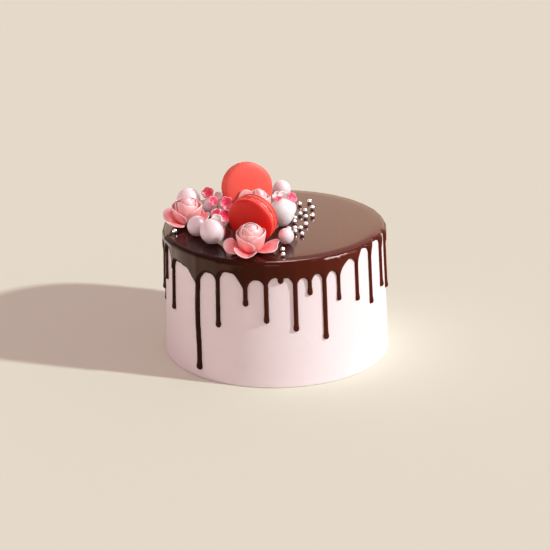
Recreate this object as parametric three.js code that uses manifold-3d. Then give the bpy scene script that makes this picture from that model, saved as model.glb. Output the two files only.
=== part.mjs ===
// A seven-inch birthday cake: pink buttercream, dark ganache poured over the top and run down
// the sides in drips, and a crescent of macarons, wafer roses, chocolate balls, sugar blossoms
// and silver dragees. Millimetres, +Z up, origin under the middle of the cake, front towards -Y.
// Angles round the cake are degrees from the front, growing towards +X.
import * as THREE from 'three';
import { mergeVertices } from 'three/addons/utils/BufferGeometryUtils.js';
import Module from 'manifold-3d';

const wasm = await Module();
wasm.setup();

// The cake body
const cakeHeight = 100;
const baseRadius = 90;
const topRadius = 86.5;
const cakeLean = -0.01; // sideways shift towards +X for each millimetre of height
const footRound = 1.2;
const topRound = 2.5;
const touchGap = 0.3;

// The ganache
const glazeTop = 103;
const glazeThickness = 2.2;
const glazeShoulder = 4;
const glazeSides = 108;
const cakeSides = 64;
const dripBelly = 2.1; // how far a drip stands off the buttercream
const funnelReach = 2.8; // a drip's mouth narrows to a third over this distance
const funnelDepth = 13;
const funnelShare = 0.6; // a short drip gives this share of its length to its mouth
const skirtChamfer = 0.9;
const skirtOverlap = 2; // how far the skirt reaches into the cake before it is cut
const longDrip = 80; // a drip longer than this sways
const swayWidth = 0.7;
const swayLength = 13;
const swayStart = 19; // height already swayed through at the top of the drip
const drips = [
  { angle: -87, length: 52, width: 4.2 },
  { angle: -76, length: 37.5, width: 4.2 },
  { angle: -64.5, length: 56.5, width: 3.5 },
  { angle: -43, length: 96.5, width: 4.9 },
  { angle: -30.3, length: 57, width: 3.8 },
  { angle: -15.3, length: 37, width: 3.8 },
  { angle: -4.8, length: 50, width: 3.8 },
  { angle: 2.7, length: 18, width: 3.8 },
  { angle: 9.9, length: 57.2, width: 3.8 },
  { angle: 17.5, length: 29, width: 3.6 },
  { angle: 25.4, length: 66.6, width: 3.7 },
  { angle: 33.6, length: 37.5, width: 3 },
  { angle: 45.8, length: 42.5, width: 3 },
  { angle: 57.2, length: 50.4, width: 3 },
  { angle: 70.6, length: 43.5, width: 3.3 },
  { angle: 82, length: 51, width: 3.6 },
];
// Lower edge of the ganache between the drips: angle and depth below the top
const crownLine = [
  [-98, 9], [-84, 7], [-73, 5.5], [-62, 12], [-57, 14], [-51, 15.2], [-46, 19.5], [-41, 15.5],
  [-37, 13.5], [-27, 9.6], [-22, 11], [-17, 16], [-12, 14], [-2, 11.3], [13, 11.3], [21, 9.6],
  [29, 9.4], [36, 8], [42, 4.2], [53, 3.4], [75, 3.4], [92, 6], [120, 11], [160, 9], [200, 12],
  [235, 8], [262, 9],
];
const backDrips = {
  from: 92, to: 262, step: 10.6, jitter: 1.8,
  shortest: 18, longest: 68, narrowest: 3.7, widest: 4.4, seed: 11,
};

// The toppings: places are x, y and z of the middle, or x and y where they stand on the ganache
const macarons = [
  { name: 'macaron_front', at: [-17.4, -44.5], radius: 19.2, turn: -28, rise: -10 },
  { name: 'macaron_back', at: [-22.5, 29.8], radius: 20.4, turn: 16.7, rise: 9.7 },
];
const shellHeight = 5.9;
const shellRim = 1.5; // height of a shell's widest line above its flat face
const fillingHalf = 1.7;
const macaronSides = 24;
const balls = [
  { name: 'ball_1', at: [-70, 33], radius: 9.7 },
  { name: 'ball_2', at: [-52, 25], radius: 6.4 },
  { name: 'ball_3', at: [-61, -26], radius: 8 },
  { name: 'ball_4', at: [-48.5, -44], radius: 10 },
  { name: 'ball_5', at: [5.5, 62], radius: 7.7 },
  { name: 'ball_6', at: [9.8, 16], radius: 7.2 },
  { name: 'ball_7', at: [8, -47.5], radius: 6.2 },
  { name: 'ball_8', at: [-46.5, 6.5], radius: 5.5 },
  { name: 'bead', at: [10.2, -20.5], radius: 2.3 },
];
const egg = { name: 'egg', at: [5.6, -6.5], radius: 9.9, height: 22.2, taper: 0.2 };
const dragee = { radius: 2, sink: 0.5 };
const drageePlaces = [
  [20, 42.5], [28, 48.5], [30, 33], [24, 26], [20, 17.5], [24.3, 11], [29.7, 13.5], [15.6, 8.1],
  [15.1, -0.1], [24, -7], [15.3, -16], [15.2, -24], [19.7, -16.2], [20.6, -30], [5, -64.7],
  [5.3, -75.8], [-79.2, -18.6],
];
// Each cup petal hugs the bud: its half width and how far over the bud it closes are in degrees
const roses = [
  {
    name: 'rose_left', at: [-70, 2], radius: 11.2, height: 24, lean: 8,
    cups: [
      { turn: -78, half: 78, close: 112, flare: 1.2 },
      { turn: 52, half: 78, close: 116, flare: 1.8 },
      { turn: 172, half: 78, close: 120, flare: 1.2 },
    ],
    petals: [
      { turn: -66, reach: 19.5, width: 30, rise: 2, curl: 0.6, twist: -17, sides: 0.05, wrap: 0.6 },
      { turn: 84, reach: 18, width: 15, rise: 6, curl: 0.6, twist: 12, sides: 0.1 },
      { turn: 150, reach: 15.5, width: 20, rise: 9, curl: 0.8, sides: 0.1, wrap: 0.6 },
      { turn: 228, reach: 16, width: 22, rise: 9, curl: 0.8, sides: 0.1, wrap: 0.6 },
    ],
  },
  {
    name: 'rose_front', at: [-18.8, -64.5], radius: 10.7, height: 24.5, lean: 13,
    cups: [
      { turn: -72, half: 80, close: 114, flare: 1.3 },
      { turn: 54, half: 80, close: 120, flare: 1.3 },
      { turn: 176, half: 80, close: 132, flare: 0 },
    ],
    petals: [
      { turn: -13, reach: 21.5, width: 22, rise: 6, curl: 1, twist: -5, sides: 0.1, wrap: 0.15 },
      { turn: -84, reach: 21.5, width: 16, rise: 0.8, curl: 0.5, twist: -34, sides: 0.02 },
      { turn: 67, reach: 21.5, width: 15, rise: 2.6, curl: 0.6, twist: 18, sides: 0.12 },
      { turn: 104, reach: 22, width: 11, rise: 6, curl: 0.6, twist: 8, sides: 0.1 },
    ],
  },
  {
    name: 'rose_back', at: [-13.2, 8.5], radius: 9.4, height: 27.2, lean: 3,
    cups: [
      { turn: 60, half: 80, close: 122, flare: 0.8 },
      { turn: -62, half: 80, close: 118, flare: 0.8 },
      { turn: 178, half: 80, close: 134, flare: 0 },
    ],
    petals: [
      { turn: -136, reach: 14.3, width: 15, rise: 22.2, curl: 0.55, sides: 0.02, slant: 0.8 },
      { turn: 10, reach: 15, width: 16, rise: 6, curl: 0.7, sides: 0.12 },
      { turn: 150, reach: 12, width: 14, rise: 8, curl: 0.7, sides: 0.12, wrap: 0.4 },
    ],
  },
];
const petalThickness = 1.1;
const petalFoot = 0.8; // height at which a petal leaves the rose's seat
const petalStart = 0.4; // where an open petal starts, as a share of the bud's radius
const seatHeight = 4.6;
const seatShare = 0.62;
const cupLow = 32; // where a cup petal starts on the bud, in degrees from its foot
const cupSpiral = 1; // one side of a cup petal stands this much out over the next petal
const coreShare = 0.7;
const coreHalf = 0.47; // half height of the core, as a share of the bud's height
const rootWidth = 0.7; // width of an open petal at its root, as a share of its full width
const blossomRadius = 5;
const blossomWaist = 0.8; // radius between two lobes, as a share of the full radius
const blossomThickness = 1.3;
const blossomCup = 1.9;
const blossoms = [
  { name: 'blossom_pink_1', at: [-54, 32.8, 117.8], turn: -10, tip: 46, size: 1.05 },
  { name: 'blossom_pink_2', at: [-50.2, 18.6, 116.2], turn: 35, tip: 60, size: 0.85 },
  { name: 'blossom_pink_3', at: [-39.4, 16.8, 115.3], turn: 12, tip: 74, size: 1.1 },
  { name: 'blossom_pink_4', at: [-46, -1.6, 111.8], turn: -60, tip: 40, size: 0.95 },
  { name: 'blossom_pink_5', at: [-39.9, 2.9, 109.4], turn: 5, tip: 75, size: 1.1 },
  { name: 'blossom_pink_6', at: [12.6, 6, 122], turn: 40, tip: 60, size: 0.92 },
  { name: 'blossom_pink_7', at: [1.8, -7.4, 125.2], turn: -10, tip: 6, size: 0.8 },
  { name: 'blossom_pink_8', at: [8, 15.2, 119.4], turn: 0, tip: 35, size: 0.8 },
  { name: 'blossom_white_1', at: [-46.1, 25.4, 118.2], turn: 20, tip: 60, size: 0.72 },
  { name: 'blossom_white_2', at: [2, 12.2, 121.6], turn: -5, tip: 66, size: 0.86 },
  { name: 'blossom_white_3', at: [5.6, 8, 122.7], turn: 12, tip: 74, size: 0.95 },
  { name: 'blossom_white_4', at: [-46.7, -9.6, 110.2], turn: 10, tip: 64, size: 0.95 },
];

const colours = {
  buttercream: { color: 0xf3dcde, roughness: 0.62, metalness: 0 },
  ganache: { color: 0x3a150d, roughness: 0.16, metalness: 0 },
  shellRed: { color: 0xd93a34, roughness: 0.55, metalness: 0 },
  shellCoral: { color: 0xf4564d, roughness: 0.55, metalness: 0 },
  filling: { color: 0xe0a59a, roughness: 0.6, metalness: 0 },
  ball: { color: 0xf2dcdd, roughness: 0.45, metalness: 0 },
  rose: { color: 0xf19c9c, roughness: 0.5, metalness: 0 },
  deepPink: { color: 0xe0305a, roughness: 0.5, metalness: 0 },
  white: { color: 0xf6f1ee, roughness: 0.55, metalness: 0 },
};

const group = new THREE.Group();

function radians(degrees) {
  return (degrees * Math.PI) / 180;
}

// One repeatable random draw after another, 0 to 1
function randomDraws(seed) {
  let state = seed;
  return () => {
    state = (state * 16807) % 2147483647;
    return state / 2147483647;
  };
}

// A closed triangle mesh as a solid that can be joined and cut
function solidOf(geometry) {
  const bare = geometry.index ? geometry.toNonIndexed() : geometry;
  bare.deleteAttribute('normal');
  bare.deleteAttribute('uv');
  const merged = mergeVertices(bare, 1e-3);
  const kept = [];
  const index = merged.index.array;
  for (let i = 0; i < index.length; i += 3) {
    const [a, b, c] = [index[i], index[i + 1], index[i + 2]];
    if (a !== b && b !== c && c !== a) kept.push(a, b, c);
  }
  const mesh = new wasm.Mesh({
    numProp: 3,
    vertProperties: new Float32Array(merged.attributes.position.array),
    triVerts: new Uint32Array(kept),
  });
  return new wasm.Manifold(mesh);
}

function joined(solids) {
  return solids.reduce((whole, next) => whole.add(next));
}

// The outer body alone: sealed hollows are filled and loose scraps dropped
function filled(solid) {
  const bodies = solid.decompose().filter((body) => body.volume() > 0);
  return bodies.reduce((best, body) => (body.volume() > best.volume() ? body : best));
}

// The vertices are snapped to a fine grid, so that slivers left by a join close up
function geometryOf(solid) {
  const mesh = solid.getMesh();
  const places = Float32Array.from(mesh.vertProperties, (value) => Math.round(value * 500) / 500);
  const geometry = new THREE.BufferGeometry();
  geometry.setAttribute('position', new THREE.BufferAttribute(places, 3));
  geometry.setIndex(new THREE.BufferAttribute(new Uint32Array(mesh.triVerts), 1));
  return geometry;
}

// The second filling catches hollows that close when near vertices are merged
function addPiece(name, solid, finish) {
  const geometry = geometryOf(filled(solidOf(geometryOf(filled(solid)))));
  geometry.computeVertexNormals();
  const piece = new THREE.Mesh(geometry, new THREE.MeshStandardMaterial(colours[finish]));
  piece.name = name;
  group.add(piece);
}

// Moves every vertex by a function that returns its new place
function reshaped(geometry, move) {
  const place = geometry.attributes.position;
  const point = new THREE.Vector3();
  for (let i = 0; i < place.count; i++) {
    point.fromBufferAttribute(place, i);
    const next = move(point.x, point.y, point.z);
    place.setXYZ(i, next[0], next[1], next[2]);
  }
  return geometry;
}

// A turned shape about +Z, from points of radius and height
function turned(profile, sides) {
  const points = profile.map(([r, z]) => new THREE.Vector2(r, z));
  return new THREE.LatheGeometry(points, sides).rotateX(Math.PI / 2);
}

function cakeRadius(z) {
  return baseRadius + ((topRadius - baseRadius) * z) / cakeHeight;
}

function leaned(geometry) {
  return reshaped(geometry, (x, y, z) => [x + cakeLean * z, y, z]);
}

function quarterArc(middleR, middleZ, radius, fromDegrees, toDegrees, steps) {
  const points = [];
  for (let i = 0; i <= steps; i++) {
    const a = radians(fromDegrees + ((toDegrees - fromDegrees) * i) / steps);
    points.push([middleR + radius * Math.cos(a), middleZ + radius * Math.sin(a)]);
  }
  return points;
}

function cakeProfile(extra) {
  const foot = quarterArc(baseRadius - footRound + extra, footRound - extra, footRound, -90, 0, 1);
  const top = quarterArc(topRadius - topRound, cakeHeight - topRound, topRound + extra, 0, 90, 1);
  return [[0, -extra], ...foot, ...top, [0, cakeHeight + extra]];
}

function addCake() {
  addPiece('cake', solidOf(leaned(turned(cakeProfile(0), cakeSides))), 'buttercream');
}

function allDrips() {
  const draw = randomDraws(backDrips.seed);
  const list = [...drips];
  for (let angle = backDrips.from; angle <= backDrips.to; angle += backDrips.step) {
    const spread = draw();
    list.push({
      angle: angle + (draw() * 2 - 1) * backDrips.jitter,
      length: backDrips.shortest + (backDrips.longest - backDrips.shortest) * spread * spread,
      width: backDrips.narrowest + (backDrips.widest - backDrips.narrowest) * draw(),
    });
  }
  return list;
}

function crownDepth(angle) {
  const turn = ((angle + 98 + 720) % 360) - 98;
  let i = 0;
  while (i < crownLine.length - 2 && crownLine[i + 1][0] < turn) i++;
  const [a0, d0] = crownLine[i];
  const [a1, d1] = crownLine[i + 1];
  const t = THREE.MathUtils.smoothstep(turn, a0, a1);
  return d0 + (d1 - d0) * t;
}

// Depth of the ganache's lower edge, with the funnels in which the drips start
function edgeDepth(angle, list) {
  const crown = crownDepth(angle);
  let funnel = 0;
  for (const drip of list) {
    const apart = Math.abs((((angle - drip.angle + 540) % 360) - 180) * radians(topRadius));
    const deepest = Math.min(funnelDepth, funnelShare * Math.max(drip.length - crown, 0));
    funnel += deepest * Math.exp(-apart / funnelReach);
  }
  return crown + funnel;
}

// The poured layer: a disc with a rounded shoulder and a skirt that ends in arches
function glazeCap(list) {
  const outer = topRadius + glazeThickness;
  const middle = outer - glazeShoulder;
  const shoulder = quarterArc(middle, glazeTop - glazeShoulder, glazeShoulder, 90, 0, 3);
  const inner = topRadius - skirtOverlap;
  const rows = [[0, glazeTop], ...shoulder, [outer, 1], [outer - skirtChamfer, 0], [inner, 0]];
  const profile = [...rows, [inner, cakeHeight - 1], [0, cakeHeight - 1]].reverse();
  // The rows at heights 0 and 1 become the skirt's lower edge
  const cap = reshaped(turned(profile, glazeSides), (x, y, z) => {
    if (z > 1.5) return [x, y, z];
    const angle = THREE.MathUtils.radToDeg(Math.atan2(x, -y));
    const edge = glazeTop - edgeDepth(angle, list);
    const level = Math.min(edge + z * 1.6, glazeTop - 1.4);
    const radius = Math.hypot(x, y);
    if (radius < inner + 0.1) return [x, y, level];
    const onRim = level > glazeTop - glazeShoulder ? shoulderRadius(level) - outer : 0;
    const grow = (radius + cakeRadius(level) - topRadius + onRim) / radius;
    return [x * grow, y * grow, level];
  });
  return solidOf(leaned(cap));
}

function shoulderRadius(level) {
  const rise = level - (glazeTop - glazeShoulder);
  return topRadius + glazeThickness - glazeShoulder + Math.sqrt(glazeShoulder ** 2 - rise ** 2);
}

// One drip: a rod wrapped on the side of the cake, with a fuller end
function dripSolid(drip) {
  const tip = glazeTop - drip.length;
  const half = drip.width / 2;
  const start = glazeTop - glazeShoulder;
  const sway = drip.length > longDrip ? swayWidth : 0;
  const stem = [[0, start], [half, start - 0.5]];
  for (let z = start - 8; z > tip + 8 && sway > 0; z -= 8) stem.push([half * 0.92, z]);
  const bulb = [[half * 0.92, tip + 6], [half * 1.16, tip + 2.6], [half * 0.8, tip + 0.6], [0, tip]];
  const rod = turned([...stem, ...bulb].reverse(), 8);
  const wrapped = reshaped(rod, (x, y, z) => {
    const across = x + sway * Math.sin((start - z + swayStart) / swayLength);
    const angle = radians(drip.angle) + across / topRadius;
    const radius = cakeRadius(z) + (-y * dripBelly) / half;
    return [radius * Math.sin(angle), -radius * Math.cos(angle), z];
  });
  return solidOf(leaned(wrapped));
}

function addGanache() {
  const list = allDrips();
  const pieces = [glazeCap(list), ...list.map(dripSolid)];
  for (const [x, y] of drageePlaces) {
    const pearl = new THREE.SphereGeometry(dragee.radius, 5, 4).rotateX(Math.PI / 2);
    pearl.translate(x, y, glazeTop + dragee.radius - dragee.sink);
    pieces.push(solidOf(pearl));
  }
  const room = solidOf(leaned(turned(cakeProfile(touchGap), cakeSides)));
  addPiece('ganache', joined(pieces).subtract(room), 'ganache');
}

// Turns a shape built about +Z so that +Z points along the given direction, then moves it
function placed(geometry, turn, tip, spot) {
  geometry.rotateX(radians(tip)).rotateZ(radians(turn));
  return geometry.translate(spot[0], spot[1], spot[2]);
}

function addMacaron(macaron, index) {
  const r = macaron.radius;
  const bottom = fillingHalf + touchGap;
  const foot = [[0, bottom], [0.94 * r, bottom], [0.99 * r, bottom + 0.6], [r, bottom + shellRim]];
  const waist = [[0.97 * r, bottom + 2.4], [0.975 * r, bottom + 3]];
  const dome = [[0.88 * r, bottom + 4.9], [0.6 * r, bottom + 5.7], [0, bottom + shellHeight]];
  const shell = [...foot, ...waist, ...dome];
  const bulge = [[0.88 * r, -fillingHalf], [0.93 * r, 0], [0.88 * r, fillingHalf]];
  const edge = [[0, -fillingHalf], ...bulge, [0, fillingHalf]];
  const tip = 90 - macaron.rise;
  const slant = Math.abs(Math.sin(radians(macaron.rise)));
  const lift = r * Math.cos(radians(macaron.rise)) + (bottom + shellRim + 0.5) * slant;
  const middle = [...macaron.at, glazeTop + touchGap + lift];
  const finish = index === 0 ? 'shellRed' : 'shellCoral';
  const front = placed(turned(shell, macaronSides), macaron.turn, tip, middle);
  const back = turned(shell, macaronSides).rotateX(Math.PI);
  const filling = placed(turned(edge, macaronSides), macaron.turn, tip, middle);
  addPiece(`${macaron.name}_shell_a`, solidOf(front), finish);
  addPiece(`${macaron.name}_filling`, solidOf(filling), 'filling');
  addPiece(`${macaron.name}_shell_b`, solidOf(placed(back, macaron.turn, tip, middle)), finish);
}

function addBalls() {
  for (const ball of balls) {
    const shape = new THREE.SphereGeometry(ball.radius, 12, 7).rotateX(Math.PI / 2);
    shape.translate(ball.at[0], ball.at[1], glazeTop + touchGap + ball.radius);
    addPiece(ball.name, solidOf(shape), 'ball');
  }
  const half = egg.height / 2;
  const shape = reshaped(new THREE.SphereGeometry(1, 12, 9).rotateX(Math.PI / 2), (x, y, z) => {
    const full = egg.radius * (1 + egg.taper * z);
    return [x * full, y * full, z * half];
  });
  shape.translate(egg.at[0], egg.at[1], glazeTop + touchGap + half);
  addPiece(egg.name, solidOf(shape), 'ball');
}

// Rounds a square into a petal's outline: across from -1 to 1 and along from 0 to 1
function petalOutline(u, v) {
  const w = 2 * v - 1;
  return [u * Math.sqrt(1 - (w * w) / 2), (1 + w * Math.sqrt(1 - (u * u) / 2)) / 2];
}

// A thin petal with a round outline. Both of its faces are split into triangles alike, so that
// they can't cross, and a rim joins them.
function petalSlab(across, along, shape) {
  const grid = new THREE.PlaneGeometry(2, 1, across, along);
  const count = grid.attributes.position.count;
  const places = [];
  for (const side of [0.5, -0.5]) {
    for (let i = 0; i < count; i++) {
      const u = grid.attributes.position.getX(i);
      const v = grid.attributes.position.getY(i) + 0.5;
      places.push(...shape(...petalOutline(u, v), side * petalThickness));
    }
  }
  const faces = [...grid.index.array];
  for (let i = 0; i < grid.index.count; i += 3) {
    const [a, b, c] = grid.index.array.slice(i, i + 3);
    faces.push(a + count, c + count, b + count);
  }
  const row = across + 1;
  const border = [];
  for (let j = 0; j < along; j++) border.push(j * row);
  for (let i = 0; i < across; i++) border.push(along * row + i);
  for (let j = along; j > 0; j--) border.push(j * row + across);
  for (let i = across; i > 0; i--) border.push(i);
  border.forEach((p, k) => {
    const q = border[(k + 1) % border.length];
    faces.push(p, p + count, q + count, p, q + count, q);
  });
  const slab = new THREE.BufferGeometry();
  slab.setAttribute('position', new THREE.Float32BufferAttribute(places, 3));
  return slab.setIndex(faces);
}

// A petal that hugs the egg-shaped bud and closes over it
function cupPetal(rose, cup) {
  const slab = petalSlab(4, 3, (across, along, through) => {
    const slope = radians(cupLow + (cup.close - cupLow) * along);
    const flare = cup.flare * THREE.MathUtils.smoothstep(along, 0.55, 1);
    const out = (rose.radius + through) * Math.sin(slope) + flare + cupSpiral * across;
    const around = radians(cup.turn + across * cup.half);
    const up = (rose.height * (1 - Math.cos(slope))) / 2 - through * Math.cos(slope);
    return [out * Math.sin(around), -out * Math.cos(around), up];
  });
  return slab.rotateX(radians(rose.lean)).translate(0, 0, petalFoot);
}

// A petal that lies open round the bud's foot, spooned and turned up at its end
function openPetal(rose, petal) {
  const { turn, reach, width, rise, curl, sides, twist = 0, wrap = 0, slant = 0 } = petal;
  const start = rose.radius * petalStart;
  const bend = (Math.PI / 2) * curl;
  const tilt = radians(Math.abs(twist));
  const half = width / 2;
  const slab = petalSlab(4, 3, (across, along, through) => {
    const angle = bend * along;
    const ahead = (reach - start) / Math.sin(bend);
    const climb = rise / (1 - Math.cos(bend));
    const steep = Math.atan2(climb * Math.sin(angle), ahead * Math.cos(angle));
    const opened = Math.min(2 * along, 1);
    const side = -across * half * (rootWidth + (1 - rootWidth) * opened);
    const out = start + ahead * Math.sin(angle) - through * Math.sin(steep) + slant * side;
    const spooned = sides * width * across ** 2;
    const tilted = (half + side * Math.sign(twist)) * Math.sin(tilt) * opened;
    const up = climb * (1 - Math.cos(angle)) + through * Math.cos(steep) + spooned + tilted;
    const flat = side * Math.cos(tilt);
    const around = flat / Math.max(out, rootWidth * half);
    const x = flat + (out * Math.sin(around) - flat) * wrap;
    const y = -out + (out - out * Math.cos(around)) * wrap;
    return [x, y, petalFoot + up];
  });
  return slab.rotateZ(radians(turn));
}

function addRose(rose) {
  const { radius, height } = rose;
  const core = new THREE.SphereGeometry(1, 9, 7).rotateX(Math.PI / 2);
  core.scale(radius * coreShare, radius * coreShare, height * coreHalf);
  core.translate(0, 0, height * coreHalf).rotateX(radians(rose.lean));
  const seatRadius = radius * seatShare;
  const seat = turned([[0, 0], [seatRadius, 0], [seatRadius, seatHeight], [0, seatHeight]], 12);
  const parts = [solidOf(seat), solidOf(core)];
  rose.cups.forEach((cup) => parts.push(solidOf(cupPetal(rose, cup))));
  rose.petals.forEach((petal) => parts.push(solidOf(openPetal(rose, petal))));
  const place = new THREE.Matrix4().setPosition(rose.at[0], rose.at[1], glazeTop + touchGap);
  addPiece(rose.name, joined(parts).transform(place.elements), 'rose');
}

// A five-petal sugar blossom, cupped
function addBlossom(blossom) {
  const rows = [[0, 0], [1, 0], [1, 1], [0.5, 1], [0, 1]];
  const shape = reshaped(turned(rows, 20), (x, y, z) => {
    const petal = Math.abs(Math.sin(2.5 * Math.atan2(y, x)));
    const lobe = blossomWaist + (1 - blossomWaist) * petal;
    const reach = Math.hypot(x, y);
    const full = blossomRadius * lobe;
    return [x * full, y * full, z * blossomThickness + blossomCup * reach * reach];
  });
  shape.scale(blossom.size, blossom.size, blossom.size);
  const finish = blossom.name.includes('white') ? 'white' : 'deepPink';
  addPiece(blossom.name, solidOf(placed(shape, blossom.turn, blossom.tip, blossom.at)), finish);
}

addCake();
addGanache();
macarons.forEach(addMacaron);
addBalls();
roses.forEach(addRose);
blossoms.forEach(addBlossom);

export default group;
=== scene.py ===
import math
import random

import bmesh
import bpy
from mathutils import Matrix, Vector, noise


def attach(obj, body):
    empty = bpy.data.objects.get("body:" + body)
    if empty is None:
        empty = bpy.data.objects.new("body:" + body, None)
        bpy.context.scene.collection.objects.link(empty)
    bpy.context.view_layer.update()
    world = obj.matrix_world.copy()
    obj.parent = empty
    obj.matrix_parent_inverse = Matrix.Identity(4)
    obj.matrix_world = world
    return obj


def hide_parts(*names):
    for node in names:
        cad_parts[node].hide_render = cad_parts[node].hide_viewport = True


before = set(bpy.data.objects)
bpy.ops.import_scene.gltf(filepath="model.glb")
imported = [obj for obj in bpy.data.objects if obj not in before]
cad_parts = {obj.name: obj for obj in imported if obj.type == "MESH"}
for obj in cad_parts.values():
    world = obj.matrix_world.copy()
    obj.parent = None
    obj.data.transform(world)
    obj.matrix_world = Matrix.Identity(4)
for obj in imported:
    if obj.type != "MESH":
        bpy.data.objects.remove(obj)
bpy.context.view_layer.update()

# A seven-inch drip cake. Sizes below are millimetres, and each finished mesh is brought to metres.
# Angles round the cake are degrees from the front, growing towards +X.
mm = 0.001


def linearChannel(value):
    return value / 12.92 if value <= 0.04045 else ((value + 0.055) / 1.055) ** 2.4


# A hex colour as a picture shows it, turned to the linear values a shader takes
def linear(hexText):
    channels = [int(hexText[i:i + 2], 16) / 255 for i in (1, 3, 5)]
    return tuple(linearChannel(value) for value in channels) + (1.0,)


# Adds one node: sockets get a value or a link, and everything else is a setting of the node
def addNode(material, kind, sockets=None, **settings):
    node = material.node_tree.nodes.new(kind)
    for name, value in settings.items():
        setattr(node, name, value)
    for name, value in (sockets or {}).items():
        if isinstance(value, bpy.types.NodeSocket):
            material.node_tree.links.new(value, node.inputs[name])
        else:
            node.inputs[name].default_value = value
    return node


# A pattern that repeats about every so many millimetres, as a noise scale
def patternScale(sizeMm):
    return 1 / (sizeMm * mm)


def blankMaterial(name):
    material = bpy.data.materials.new(name)
    material.use_nodes = True
    material.node_tree.nodes.clear()
    return material


def objectPlace(material):
    return addNode(material, "ShaderNodeTexCoord").outputs["Object"]


def speckle(material, sizeMm, detail=2.0, rough=0.5):
    sockets = {
        "Vector": objectPlace(material), "Scale": patternScale(sizeMm),
        "Detail": detail, "Roughness": rough,
    }
    return addNode(material, "ShaderNodeTexNoise", sockets).outputs["Fac"]


def between(material, share, first, second):
    sockets = {0: share, 6: linear(first), 7: linear(second)}
    return addNode(material, "ShaderNodeMix", sockets, data_type="RGBA").outputs[2]


def ranged(material, value, fromLow, fromHigh, toLow, toHigh):
    sockets = {
        "Value": value, "From Min": fromLow, "From Max": fromHigh, "To Min": toLow, "To Max": toHigh,
    }
    return addNode(material, "ShaderNodeMapRange", sockets).outputs["Result"]


def bumped(material, height, depthMm, strength=1.0, below=None):
    sockets = {"Height": height, "Distance": depthMm * mm, "Strength": strength}
    if below is not None:
        sockets["Normal"] = below
    return addNode(material, "ShaderNodeBump", sockets).outputs["Normal"]


def surfaced(material, sockets):
    shader = addNode(material, "ShaderNodeBsdfPrincipled", sockets)
    addNode(material, "ShaderNodeOutputMaterial", {"Surface": shader.outputs["BSDF"]})
    return material


# Writes a bmesh in millimetres to a piece in metres, smooth all over, and sets it in its node's place
def finishPiece(name, bm, material, node, recalculate=True):
    if recalculate:
        bmesh.ops.recalc_face_normals(bm, faces=bm.faces[:])
    bmesh.ops.scale(bm, vec=(mm, mm, mm), verts=bm.verts[:])
    mesh = bpy.data.meshes.new(name)
    bm.to_mesh(mesh)
    bm.free()
    mesh.polygons.foreach_set("use_smooth", [True] * len(mesh.polygons))
    mesh.materials.append(material)
    piece = bpy.data.objects.new(name, mesh)
    bpy.context.scene.collection.objects.link(piece)
    if node:
        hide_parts(node)
        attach(piece, "root")
    return piece


# A closed shape turned about +Z from points of radius and height that start and end on the axis
def turnedShape(bm, profile, steps):
    verts = [bm.verts.new((radius, 0, height)) for radius, height in profile]
    edges = [bm.edges.new(pair) for pair in zip(verts, verts[1:])]
    bmesh.ops.spin(
        bm, geom=verts + edges, cent=(0, 0, 0), axis=(0, 0, 1), angle=2 * math.pi,
        steps=steps, use_merge=True, use_duplicate=False,
    )
    bmesh.ops.remove_doubles(bm, verts=bm.verts[:], dist=1e-5)


def arcPoints(middle, radius, fromDegrees, toDegrees, steps):
    points = []
    for i in range(steps + 1):
        a = math.radians(fromDegrees + (toDegrees - fromDegrees) * i / steps)
        points.append((middle[0] + radius * math.cos(a), middle[1] + radius * math.sin(a)))
    return points


def wave(x, y, z, sizeMm, seed=0.0):
    return noise.noise(Vector((x, y, z)) / sizeMm + Vector((seed, seed * 1.7, seed * 2.3)))


# The cake's body: smooth scraped buttercream

cake = {
    "height": 100, "baseRadius": 90, "topRadius": 86.5, "lean": -0.01,
    "footRound": 1.2, "topRound": 1.0, "steps": 300, "rows": 90,
    "bandDepth": 0.12, "bandWidth": 5, "swellDepth": 0.22, "swellWidth": 45,
    "mark": {"angle": 10, "height": 32, "radius": 11, "width": 0.8, "depth": 0.25},
}


def cakeRadius(height):
    return cake["baseRadius"] + (cake["topRadius"] - cake["baseRadius"]) * height / cake["height"]


# Buttercream: fat whipped with sugar, soft and slightly translucent, pale pink, with faint scraper lines
def buttercream():
    material = blankMaterial("pink buttercream")
    tone = between(material, speckle(material, 30, 3.0), "#F2E5E9", "#EFE0E5")
    bands = addNode(material, "ShaderNodeMapping", {
        "Vector": objectPlace(material), "Scale": (1.0, 1.0, 14.0),
    })
    lines = addNode(material, "ShaderNodeTexNoise", {
        "Vector": bands.outputs["Vector"], "Scale": patternScale(28), "Detail": 4.0,
    })
    scraped = bumped(material, lines.outputs["Fac"], 0.10, 0.5)
    grain = bumped(material, speckle(material, 0.9, 1.0), 0.05, 0.35, scraped)
    return surfaced(material, {
        "Base Color": tone, "Roughness": 0.58, "IOR": 1.46, "Normal": grain,
        "Subsurface Weight": 0.25, "Subsurface Radius": (1.0, 0.85, 0.85), "Subsurface Scale": 3.0 * mm,
    })


# How far the scraped side lies below its true radius, in millimetres
def scrapedDepth(angle, height):
    x = cake["baseRadius"] * math.sin(angle)
    y = -cake["baseRadius"] * math.cos(angle)
    bands = wave(x / 8, y / 8, height, cake["bandWidth"], 3.1)
    swell = wave(x, y, height / 2, cake["swellWidth"], 8.4)
    depth = 0.5 * cake["bandDepth"] * (1 + bands) + 0.5 * cake["swellDepth"] * (1 + swell)
    mark = cake["mark"]
    across = (angle - math.radians(mark["angle"])) * cake["baseRadius"]
    up = height - mark["height"]
    if across > 0 and up > 0:
        apart = (math.hypot(across, up) - mark["radius"]) / mark["width"]
        depth -= mark["depth"] * math.exp(-apart * apart)
    return max(depth, 0)


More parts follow.
